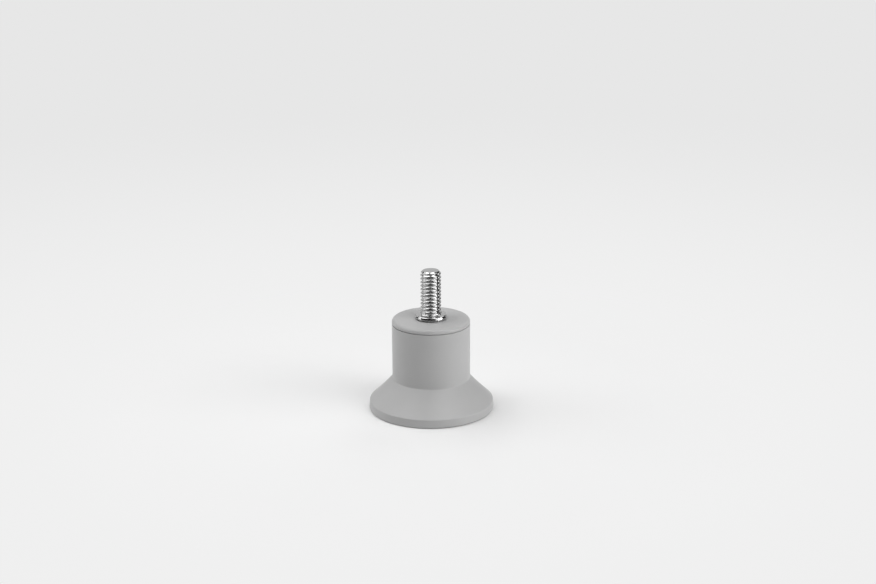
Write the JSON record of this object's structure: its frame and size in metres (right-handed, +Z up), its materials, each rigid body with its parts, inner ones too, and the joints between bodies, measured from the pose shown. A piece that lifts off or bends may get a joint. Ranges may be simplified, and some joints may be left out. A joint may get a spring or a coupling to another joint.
{
  "type": "screw-in furniture leg",
  "caption": "Short round plastic furniture leg with a flared foot and a threaded steel stud that screws up into the furniture.",
  "frame": {"origin": "centre of the foot's underside, where the leg stands on the floor", "axes": "+Z up the leg and along the stud, away from the floor; the leg is round, so X and Y are free"},
  "size_m": [0.0482, 0.0481, 0.0551],
  "materials": {
    "grey_plastic": "satin moulded",
    "plated_steel": "bright plated"
  },
  "bodies": {
    "root": {"foot": "grey_plastic", "top_cap": "grey_plastic", "threaded_stud": "plated_steel"}
  },
  "joints": []
}
